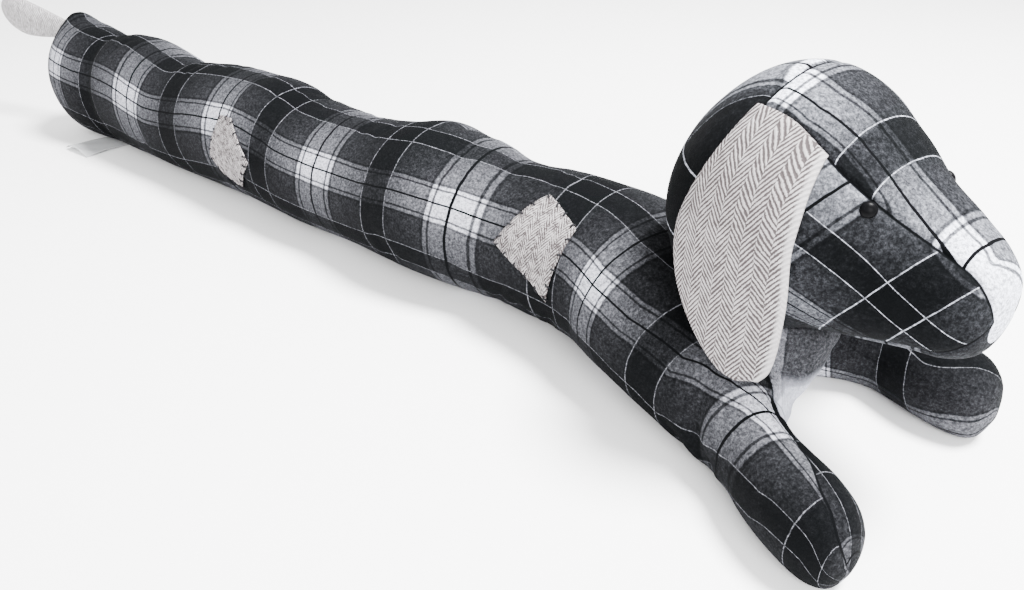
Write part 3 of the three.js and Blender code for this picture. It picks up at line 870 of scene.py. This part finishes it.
def chest_reach(points):
    """Above 0 where neither leg's cloth lies, in front of the shoulders, and below 0 elsewhere."""
    right = depth_in(points, LONG_ROWS) - CHEST_CLEAR[0]
    left = depth_in(points, LEFT_LEG_ROWS) - CHEST_CLEAR[1]
    way, angle, _ = on_tube(points, LONG_ROWS)
    inner = np.minimum((from_below(angle) - CHEST_INNER_ANGLE) * 0.0175, (CHEST_INNER_END - way) * 0.04)
    between = np.minimum(points[:, 0] - CHEST_X[0], CHEST_X[1] - points[:, 0]) / 20
    return np.minimum(np.minimum(np.maximum(right, inner), left), between)


def chest_map(points):
    """The check's map over the chest's own piece, in repeats."""
    run = (points[:, :2] - CHEST_MIDDLE) @ CHEST_GRAIN
    return table_at(run, CHEST_ACROSS), table_at(points[:, 2], CHEST_UP)


def leg_seam_reach(points):
    """Millimetres past the seam on the right leg's inner top, and well below 0 away from it."""
    way, angle, half = on_tube(points, LONG_ROWS)
    past = (from_below(angle) - table_at(way, LEG_SEAM)) * math.pi / 180 * half
    start, end = LEG_SEAM_WAYS
    inner = (points[:, 1] < LEG_SEAM_INNER_Y) & (way > start) & (way < end)
    return np.where(inner, np.minimum(past, way - LEG_SEAM_START), -30)


def filled_shell():
    """Tube, shoulders, front legs and chest as one closed skin, before it is smoothed."""
    parts = []
    for rows, sides in ((LONG_ROWS, 120), (LEFT_LEG_ROWS, 96), (CHEST_ROWS, 96)):
        rings = tube_rings(rows, 4, sides)
        parts.append(made("shell", ring_points(rings), ring_faces(len(rings), sides)))
    with bpy.context.temp_override(active_object=parts[0], selected_editable_objects=parts, object=parts[0]):
        bpy.ops.object.join()
    body = parts[0]
    body.name = body.data.name = "body_cloth"
    remesh = body.modifiers.new("even", "REMESH")
    remesh.mode = "VOXEL"
    remesh.voxel_size = VOXEL * MM
    remesh.use_smooth_shade = True
    skin = bpy.data.meshes.new_from_object(body.evaluated_get(bpy.context.evaluated_depsgraph_get()))
    body.modifiers.clear()
    body.data = skin
    return body


def filled_body():
    """The body with its creases, its leg seam, the tail end's corner and the chest's fold."""
    body = filled_shell()
    points = evened(body, points_of(body), EVEN_TURNS // 3)
    front = step_up(points[:, 0], *EVEN_FROM)[:, None]
    points = points + (evened(body, points, EVEN_TURNS) - points) * front
    move_points(body, points)
    normals = read_points(body, "normal")
    points = creased(points, normals)
    seam = leg_seam_reach(points)
    off_corner = ((points[:, :2] - CORNER_AT) / CORNER_SIZE) ** 2
    corner = np.exp(-off_corner.sum(1)) * step_up(points[:, 2], *CORNER_HEIGHTS)
    points = points - normals * (LEG_SEAM_DEPTH * hump(seam, LEG_SEAM_WIDTH))[:, None]
    points = points + np.outer(corner, (0, 0, CORNER_RISE))
    reach = chest_reach(points)
    off_fold = (((points - FOLD_AT) / FOLD_SIZE) ** 2).sum(1)
    fold = np.exp(-off_fold) * step_up(reach, -0.30, -0.05)
    reach += fold * 0.8
    points = points + np.outer(fold, FOLD_PUSH)
    points = clear_of_head(points, BODY_HEAD_GAP)
    points[:, 2] = np.maximum(points[:, 2], 0)
    move_points(body, points)
    set_map(body, "cloth", body_check_map(body, points))
    add_map(body, "seams", leg_seam_reach(points) * MM, np.full(len(points), NO_SEAM * MM))
    add_map(body, "chest", *chest_map(points))
    add_map(body, "bib", reach, np.zeros(len(points)))
    return body


def gathered(count):
    """Shares from 0 to 1 that stand closer together at both ends."""
    even = np.linspace(0, 1, count)
    return even - 0.115 * np.sin(2 * math.pi * even)


def head_angles(place, counts):
    """Angles round one ring of the head: over the top, left panel, underneath, right panel."""
    wide, square, strip = smooth(HEAD_ROWS, np.array([place]))[0, [2, 4, 5]]
    upper = math.acos(min(1.0, strip / wide) ** (square / 2))
    lower = -math.radians(table_at(place, PANEL_UNDER_ROWS))
    begin, end = PANEL_TIP_ROWS
    narrow = math.sqrt(max(0.0, 1 - max(0.0, (place - begin) / (end - begin)) ** 2))
    upper = PANEL_TIP_ANGLE + (upper - PANEL_TIP_ANGLE) * max(narrow, 0.04)
    lower = PANEL_TIP_ANGLE + (lower - PANEL_TIP_ANGLE) * max(narrow, 0.04)
    top, side, under = counts
    ends = [upper, math.pi - upper, math.pi - lower, 2 * math.pi + lower, 2 * math.pi + upper]
    runs = [a + (b - a) * gathered(n + 1)[:-1] for a, b, n in zip(ends, ends[1:], (top, side, under, side))]
    return np.concatenate(runs)


def head_check(panel, forward, right, height, top_way):
    """The check's map on one panel of the head, in repeats."""
    if panel == "top":
        line = table_at(top_way, TOP_LINE)
        repeat = np.where(right > line, TOP_RIGHT_REPEAT, table_at(top_way, TOP_LEFT_REPEAT))
        return table_at(top_way, TOP_CROSS), (right - line) / repeat
    if panel in ("right", "left"):
        level, steep = SIDE_GRAIN
        along = level * forward - steep * height - SIDE_CROSSING[0]
        across = steep * forward + level * height - SIDE_CROSSING[1]
        return along / SIDE_REPEAT[0] + 0.5, across / SIDE_REPEAT[1] + 0.5
    if panel == "back":
        # flat over the back of the skull: as far from its middle as on the round
        up = height - BACK_HEIGHT
        reach = (top_way + BACK_WAY) / np.maximum(np.hypot(right, up), 1)
        return 0.88 + (up * reach - 100) / 240, table_at(right * reach, BACK_ACROSS)
    return forward / 110 + 0.3, right / 100 + 0.15


def way_over_head(grid, place):
    """Way over the top of the skull to each ring, from the crown seam."""
    run = np.hypot(np.diff(FINE_HEAD[:, 0]), np.diff(FINE_HEAD[:, 1] + FINE_HEAD[:, 3]))
    way = np.interp(grid, FINE_PLACES, np.append(0, np.cumsum(run)))
    return way - np.interp(CROWN_SEAM_ROW, place, way[:, 0])


def head_faces_panels(head, rings, starts, crown, tip):
    """The panel at each corner of the head's faces, as a place in HEAD_PANELS."""
    at, face, first = corners_of(head)
    sides = rings.shape[1]
    last = len(rings) * sides
    lead = at[first]
    ring = np.where(lead < last, lead // sides, np.where(lead == last, 0, len(rings) - 1))
    column = np.where(lead < last, lead, at[np.minimum(first + 2, len(at) - 1)]) % sides
    panel = np.searchsorted(starts, column, side="right") - 1
    panel[ring >= tip] = HEAD_PANELS.index("top")
    panel[ring < crown] = HEAD_PANELS.index("back")
    return at, panel[face]


def sewn_head():
    """The head: a strip over its top, two side panels, a back and an underside, sewn together."""
    top, side, under = PANEL_COUNTS
    place = places(HEAD_ROWS, HEAD_STEP, lambda a, b: math.hypot(b[0] - a[0], b[2] - a[2]))
    place = place[(place > 0.02) & (place < len(HEAD_ROWS) - 1.02)]
    angle = np.array([head_angles(p, PANEL_COUNTS) for p in place])
    grid = np.repeat(place[:, None], top + 2 * side + under, 1)
    forward, right, height = head_local(grid, angle)
    crown = int(np.abs(place - CROWN_SEAM_ROW).argmin())
    tip = int(np.abs(place - PANEL_TIP_ROWS[1]).argmin())
    ahead = grid >= CROWN_SEAM_ROW
    starts = np.cumsum([0, top, side, under])
    flat = head_place(forward, right, height)
    away = [np.linalg.norm(flat - flat[:, start:start + 1], axis=-1) for start in starts]
    upper, lower = np.minimum(away[0], away[1]), np.minimum(away[2], away[3])
    from_crown = np.abs(forward - forward[crown])
    depth = np.maximum(SEAM_DEPTH * hump(upper, SEAM_WIDTH) * ahead,
                       UNDER_SEAM_DEPTH * hump(lower, SEAM_WIDTH))
    depth = np.maximum(depth, CROWN_SEAM_DEPTH * hump(from_crown, SEAM_WIDTH))
    puff = np.sin(forward * 0.11 + right * 0.05) * np.sin(height * 0.09 - right * 0.04) * HEAD_PUFF
    depth = (depth - puff) * np.minimum(1, smooth(HEAD_ROWS, grid)[..., 2] / 20)
    forward, right, height = head_local(grid, angle, -depth)
    rings = head_place(forward, right, height)
    head = made("head_cloth", ring_points(rings), ring_faces(*rings.shape[:2]))
    at, panel = head_faces_panels(head, rings, starts, crown, tip)
    spots = [np.append(v.ravel(), [v[0].mean(), v[-1].mean()])
             for v in (forward, right, height, way_over_head(grid, place))]
    uv = np.zeros((len(at), 2))
    for k, name in enumerate(HEAD_PANELS):
        pick = panel == k
        uv[pick] = np.stack(head_check(name, *(v[at[pick]] for v in spots)), -1)
    set_map(head, "cloth", uv)
    gap = np.where(ahead, np.minimum(upper, lower), lower)
    gap = np.where(grid > PANEL_TIP_ROWS[1] + 0.05, NO_SEAM, gap)
    gap = np.append(np.minimum(gap, from_crown).ravel(), [NO_SEAM, NO_SEAM]) * MM
    add_map(head, "seams", np.full(len(gap), -30 * MM), gap)
    return head


def two_layers(lower, upper):
    """Points of two grids, one after the other."""
    return np.vstack([lower.reshape(-1, 3), upper.reshape(-1, 3)])


def hung_ear(side, name):
    """An ear hangs over the cheek: two layers of cloth with thin wadding, turned and pressed."""
    far = side < 0
    down, across = grid_shares(*EAR_GRID)
    edge = smooth(EAR_ROWS, down[:, 0] * (len(EAR_ROWS) - 1))
    back, back_height, front, front_height = (edge[:, k, None] for k in range(4))
    forward = back + (front - back) * across
    height = back_height + (front_height - back_height) * across
    height += EAR_CROWN * np.sin(math.pi * across) * (1 - down) ** 5
    if far:
        height -= FAR_EAR_TUCK * (1 - down) ** 3
    hang = np.minimum(1, 3 * down)
    gap = EAR_ROOT_GAP + (EAR_HANG_GAP - EAR_ROOT_GAP) * hang + EAR_FLARE * down ** 2
    gap += 0.6 * np.sin(down * 9 + across * 3) * down
    if far:
        gap = gap - FAR_EAR_CLOSER * hang * (1 - down)
    wide = np.hypot(front - back, front_height - back_height)
    to_rim = np.minimum(np.minimum(across, 1 - across) * wide, (1 - down) * EAR_LENGTH * 0.8 + 0.01)
    round_in = np.sqrt(np.clip(1 - (1 - np.clip(to_rim / EAR_EDGE_ROUND, 0, 1)) ** 2, 0, 1))
    thick = EAR_RIM + (EAR_THICKNESS - EAR_RIM) * round_in
    if far:
        thick = thick * (FAR_EAR_THIN + (1 - FAR_EAR_THIN) * down)
    stitch = hump(to_rim - EAR_EDGE_SEWN, 0.9) * 0.5
    middle = cheek(forward, height) + gap + np.maximum(thick, EAR_RIM) / 2
    inner = head_place(forward, side * (middle - thick / 2), height)
    outer = head_place(forward, side * (middle + thick / 2 - stitch), height + thick / 2)
    faces = slab_faces(*EAR_GRID)
    if not far:
        faces = [f[::-1] for f in faces]
    cos, sin = math.cos(EAR_GRAIN_LEAN), math.sin(EAR_GRAIN_LEAN)
    lay = np.stack([forward * cos - height * sin, forward * sin + height * cos], -1).reshape(-1, 2) * MM
    lay = np.vstack([lay, lay])
    ear = made(name, two_layers(inner, outer), faces, [lay[k] for f in faces for k in f])
    # How far in from the front edge, for the painted highlight along it
    from_lit_edge = np.tile(((1 - across) * wide - 1.2).ravel(), 2) * MM
    add_map(ear, "edge", from_lit_edge, from_lit_edge)
    return ear


def slab_faces(rows, columns):
    """Quads of two grids of points, one over the other, and the rim between them."""
    r, c = np.meshgrid(np.arange(rows - 1), np.arange(columns - 1), indexing="ij")
    a = (r * columns + c).ravel()
    quads = np.stack([a, a + 1, a + 1 + columns, a + columns], -1)
    shift = rows * columns
    rim = np.concatenate([np.arange(columns - 1), np.arange(rows - 1) * columns + columns - 1,
                          shift - 1 - np.arange(columns - 1), np.arange(rows - 1, 0, -1) * columns])
    after = np.roll(rim, -1)
    sides = np.stack([rim, rim + shift, after + shift, after], -1)
    return np.vstack([quads, quads[:, ::-1] + shift, sides]).tolist()


def padded_tail():
    """A padded leaf, sewn into the end seam."""
    sides = 60
    rings = tube_rings(TAIL_ROWS, 1.6, sides)
    seam = hump(np.abs(np.degrees(circle(sides)) % 180 - 90), 5)
    centre = rings.mean(1, keepdims=True)
    rings = centre + (rings - centre) * (1 - 0.05 * seam)[None, :, None]
    points = ring_points(rings)
    faces = ring_faces(len(rings), sides)
    lay = points[:, [0, 2]] * MM
    return made("tail_cloth", points, faces, [lay[k] for f in faces for k in f])


def surface(way, degrees, lift):
    """Points over the tube's right side at ways and angles, lifted off it, and the way out."""
    values, ways = middle_line(LONG_ROWS)
    place = np.interp(way, ways, np.linspace(0, len(LONG_ROWS) - 1, len(values)))
    angle = np.radians(degrees)
    spot = tube_points(LONG_ROWS, place, angle)
    along = tube_points(LONG_ROWS, place + 0.01, angle) - spot
    round_it = tube_points(LONG_ROWS, place, angle + 0.01) - spot
    out = unit(np.cross(along, round_it))
    return spot + out * np.asarray(lift)[..., None], out


def patch_outline(corners, steps):
    """Points along a patch's straight sides, so many to each."""
    corners = np.array(corners, float)
    share = np.arange(steps)[:, None] / steps
    return np.vstack([a + (b - a) * share for a, b in zip(corners, np.roll(corners, -1, 0))])


def sewn_patch(corners, name):
    """A patch of cloth laid on the tube, its raw edge a little uneven."""
    outline = patch_outline(corners, PATCH_STEPS)
    centre = np.mean(corners, axis=0)
    wave = np.arange(len(outline))
    uneven = 1 + 0.008 * np.sin(wave * 1.9) + 0.006 * np.sin(wave * 0.7)
    outline = centre + (outline - centre) * uneven[:, None]
    out_to = np.linspace(0.04, 1, PATCH_STEPS)
    rings = []
    for share, over in [(s, 0.0) for s in out_to] + [(s, 1.0) for s in out_to[::-1]]:
        flat = centre + (outline - centre) * share
        # the edge is pressed thinner than the rest
        high = PATCH_LIFT + PATCH_THICKNESS * over * (0.55 if share == 1 else 1.0)
        rings.append(surface(flat[:, 0], flat[:, 1], np.full(len(flat), high))[0])
    rings = np.array(rings)
    points = ring_points(rings)
    faces = ring_faces(*rings.shape[:2])
    middle, out = surface(centre[0], centre[1], 0.0)
    level = unit(np.cross((0, 0, 1), out))
    up = np.cross(out, level)
    lay = np.stack([(points - middle) @ level, (points - middle) @ up], -1) * MM
    return made(name, points, faces, [lay[k] for f in faces for k in f])


def threads(paths, name, sides=6):
    """Short threads along paths, joined in one piece."""
    points, faces = [], []
    for path in paths:
        path = np.asarray(path, float)
        ahead = unit(np.gradient(path, axis=0))
        aside = unit(np.cross(ahead, (0.31, 0.17, 0.93)))
        over = np.cross(ahead, aside)
        turn = circle(sides)[None, :, None]
        blunt = np.clip(1 - np.abs(np.linspace(-1, 1, len(path))) ** 6, 0.15, 1)
        size = STITCH_RADIUS * np.sqrt(blunt)
        round_it = np.cos(turn) * aside[:, None] + np.sin(turn) * over[:, None]
        ring = path[:, None] + size[:, None, None] * round_it
        shift = sum(len(p) for p in points)
        points.append(ring_points(ring))
        faces += [tuple(shift + k for k in f) for f in ring_faces(len(path), sides)]
    return made(name, np.vstack(points), faces)


def whip_stitches(corners, name, seed):
    """Dark hand stitches over a patch's edge, each a little off the last."""
    chance = np.random.default_rng(seed)
    outline = patch_outline(corners, 40)
    centre = np.mean(corners, axis=0)
    spots = surface(outline[:, 0], outline[:, 1], np.full(len(outline), PATCH_LIFT))[0]
    way = np.concatenate([[0], np.cumsum(np.linalg.norm(np.diff(spots, axis=0), axis=1))])

    def on_edge(*ats):
        """The outline's way at one place along it, and its angle at another."""
        return np.array([np.interp(at, way, outline[:, k]) for k, at in enumerate(ats)])

    share = np.linspace(0, 1, STITCH_POINTS)
    inward = np.linspace(-0.055, 0.11, STITCH_POINTS)
    paths = []
    for at in np.arange(STITCH_PITCH / 2, way[-1], STITCH_PITCH):
        at += chance.uniform(-1, 1)
        edge = on_edge(at, at)
        skew = on_edge(at + chance.uniform(0.6, 2.0), at + chance.uniform(0.6, 2.0)) - edge
        flat = edge + (centre - edge) * inward[:, None] + skew * share[:, None]
        paths.append(surface(flat[:, 0], flat[:, 1], table_at(share, STITCH_LIFT))[0])
    return threads(paths, name)


def care_label():
    """A strip of woven tape that lies on the floor out from under the tube."""
    width, length = LABEL_SIZE
    s, t = grid_shares(*LABEL_GRID)
    wave = (1 - s) * (1.8 + 1.2 * np.sin(t * 5 + s * 4) + 0.6 * np.sin(t * 11 - s * 7)) + 0.25
    wave += 4.0 * (1 - s) ** 3 * np.sin(math.pi * t)
    lower = np.stack([LABEL_CORNER[0] + width * t, LABEL_CORNER[1] + length * s, wave], -1)
    points = two_layers(lower, lower + (0, 0, LABEL_THICKNESS))
    return made("label_tape", points, [f[::-1] for f in slab_faces(*LABEL_GRID)])


def sewn_eye(side, name):
    """A small black domed eye."""
    place, angle = np.array([EYE_ROW]), np.array([EYE_ANGLE[side]])
    at = head_place(*head_local(place, angle))[0]
    along = head_place(*head_local(place + 0.01, angle))[0] - at
    round_it = head_place(*head_local(place, angle + 0.01))[0] - at
    out = unit(np.cross(along, round_it))
    first = unit(np.cross(out, (0, 0, 1)))
    second = np.cross(out, first)
    turn = circle(EYE_SIDES)[:, None]
    profile = [(3.5, -1.2), (3.75, -0.2)] + [
        (EYE_RADIUS * math.cos(a), EYE_DOME * math.sin(a)) for a in np.radians(np.linspace(5, 84, 12))]
    rings = np.array([at + out * rise + reach * (np.cos(turn) * first + np.sin(turn) * second)
                      for reach, rise in profile])
    return made(name, ring_points(rings), ring_faces(len(rings), EYE_SIDES))


def facing_out(piece):
    """Turns a closed piece's faces outward."""
    work = bmesh.new()
    work.from_mesh(piece.data)
    bmesh.ops.recalc_face_normals(work, faces=work.faces)
    work.to_mesh(piece.data)
    work.free()
    return piece


def dress(piece, material, slot, *nodes):
    """Gives a piece its finish and its place on the object."""
    piece.data.materials.clear()
    piece.data.materials.append(material)
    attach(piece, "root")
    if nodes:
        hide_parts(*nodes)
    return piece


def photo_camera():
    """The camera where the photo was taken from."""
    camera = placed("camera", bpy.data.cameras.new("camera"))
    turn = Matrix((CAMERA_RIGHT, CAMERA_UP, CAMERA_BACK)).transposed().to_4x4()
    camera.matrix_world = Matrix.Translation(Vector(np.array(CAMERA_AT) * MM + START)) @ turn
    camera.data.lens = CAMERA_LENS
    camera.data.sensor_width = CAMERA_SENSOR
    camera.data.clip_start = 0.01
    bpy.context.scene.camera = camera


def area_light(name, at, towards, size, power):
    """A round soft light, with sizes in metres and its power in watts."""
    light = bpy.data.lights.new(name, "AREA")
    light.shape = "DISK"
    light.size = size
    light.energy = power
    lamp = placed(name, light)
    lamp.location = at
    lamp.rotation_euler = (Vector(towards) - Vector(at)).to_track_quat("-Z", "Y").to_euler()


def pale_floor():
    """A plain pale floor, wide enough to fill every view, with sizes in metres."""
    floor = Finish("pale_floor")
    tone = floor.noise(floor.place(), 3.0, 1.0)
    pale = floor.mixed(tone, (0.93, 0.93, 0.93, 1), (0.96, 0.96, 0.96, 1))
    half = 12.0
    mesh = bpy.data.meshes.new("floor")
    corners = [(-half, -half, 0), (half, -half, 0), (half, half, 0), (-half, half, 0)]
    mesh.from_pydata(corners, [], [(0, 1, 2, 3)])
    mesh.materials.append(floor.done(pale, 0.9))
    placed("floor", mesh)


def surround(strength):
    """White light from all around."""
    world = bpy.data.worlds.new("surround")
    world.use_nodes = True
    world.node_tree.nodes["Background"].inputs[0].default_value = (1.0, 1.0, 1.0, 1)
    world.node_tree.nodes["Background"].inputs[1].default_value = strength
    bpy.context.scene.world = world


photo_camera()
pale_floor()
surround(2.1)
area_light("key", (0.85, 0.35, 1.7), (0.25, 0, 0.05), 0.6, 235)
area_light("fill", (1.6, -1.2, 1.2), (0.2, 0, 0.05), 1.2, 62)

# One check cloth in two copies: the body's has a darker white, painted shade, and the head's a brighter
# white, painted light
check = check_cloth("check_cloth", with_chest=True, line_light=0.58, contrast=3.4,
                    white=(0.44, 0.445, 0.50, 1))
head_check_cloth = check_cloth("head_check_cloth", with_chest=False, line_light=0.68,
                               contrast=3.6, white=(0.84, 0.87, 0.99, 1))
ear_cloth = herringbone_cloth("ear_herringbone", column=0.0056, pitch=0.0029, contrast=1.0,
                              paler=-0.35, rough_weave=1.3, with_lit_edge=True)
patch_cloth = herringbone_cloth("patch_herringbone", column=0.0050, pitch=0.0030, contrast=1.0,
                                paler=-0.35, rough_weave=3.2)
tail_cloth = herringbone_cloth("tail_herringbone", column=0.0056, pitch=0.0036, contrast=0.75,
                               paler=0.6, rough_weave=2.0)
tape = plain_cloth("label_tape_cloth", (0.52, 0.53, 0.54, 1), scale=1400.0)
dark_thread = plain_cloth("dark_thread", (0.018, 0.018, 0.020, 1), scale=2400.0)
eye_black = eye_gloss("eye_black")

body = dress(facing_out(filled_body()), check, "check_cloth", "body")
head = dress(facing_out(sewn_head()), head_check_cloth, "check_cloth", "head")
for side, which in ((1, "right"), (-1, "left")):
    ear = facing_out(hung_ear(side, f"ear_{which}_cloth"))
    dress(ear, ear_cloth, "herringbone_cloth", f"ear_{which}")
    dress(facing_out(sewn_eye(side, f"eye_{which}_bead")), eye_black, "eye", f"eye_{which}")
tail = dress(facing_out(padded_tail()), tail_cloth, "herringbone_cloth", "tail")
for corners, which, flat, seed in ((SHOULDER_PATCH, "shoulder", (0.062, 0.072), 3),
                                   (REAR_PATCH, "rear", (0.060, 0.066), 5)):
    patch = dress(facing_out(sewn_patch(corners, f"patch_{which}_cloth")), patch_cloth,
                  "herringbone_cloth", f"patch_{which}")
    stitches = whip_stitches(corners, f"patch_{which}_stitches", seed)
    dress(stitches, dark_thread, "herringbone_cloth")
label = dress(facing_out(care_label()), tape, "label_cloth", "care_label")
